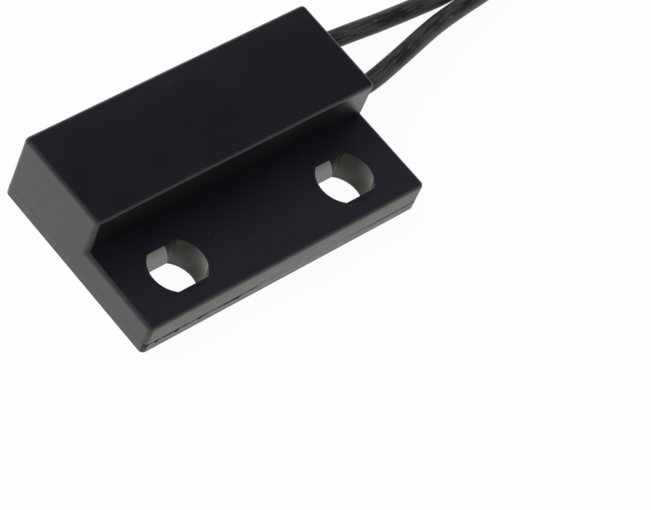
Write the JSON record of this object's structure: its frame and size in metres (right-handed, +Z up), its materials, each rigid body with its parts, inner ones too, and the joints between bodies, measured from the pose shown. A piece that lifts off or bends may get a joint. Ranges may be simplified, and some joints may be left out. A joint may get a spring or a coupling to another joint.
{
  "type": "flange-mount reed sensor",
  "caption": "Moulded stepped block with a screw flange, a reed switch potted inside and two free leads wound in a tied coil.",
  "frame": {"origin": "centre of the sensor's footprint, on the underside of its base cover", "axes": "+X along the block, towards the end where the leads leave; -Y towards the screw flange; +Z up, away from the surface it is screwed to"},
  "size_m": [0.0899, 0.0221, 0.007],
  "materials": {
    "housing_plastic": "satin moulded black",
    "cover_plastic": "fine matt moulded black",
    "potting_resin": "cast black resin",
    "switch_glass": "clear pale green glass",
    "reed_metal": "plated nickel iron",
    "solder": "bright solder",
    "tinned_wire": "tinned copper",
    "lead_jacket": "soft black jacket",
    "tie_nylon": "natural nylon"
  },
  "bodies": {
    "root": {"housing": "housing_plastic", "base_cover": "cover_plastic", "potting_compound": "potting_resin", "reed_glass": "switch_glass", "reed_blade_left": "reed_metal", "reed_blade_right": "reed_metal", "solder_joint_left": "solder", "solder_joint_right": "solder", "core_back": "tinned_wire", "core_front": "tinned_wire", "insulation_back": "lead_jacket", "insulation_front": "lead_jacket", "lead_back": "lead_jacket", "lead_front": "lead_jacket", "lead_coil": "lead_jacket", "coil_tie": "tie_nylon", "lead_tail_back": "lead_jacket", "lead_tail_front": "lead_jacket", "tinned_end_back": "tinned_wire", "tinned_end_front": "tinned_wire"}
  },
  "joints": []
}
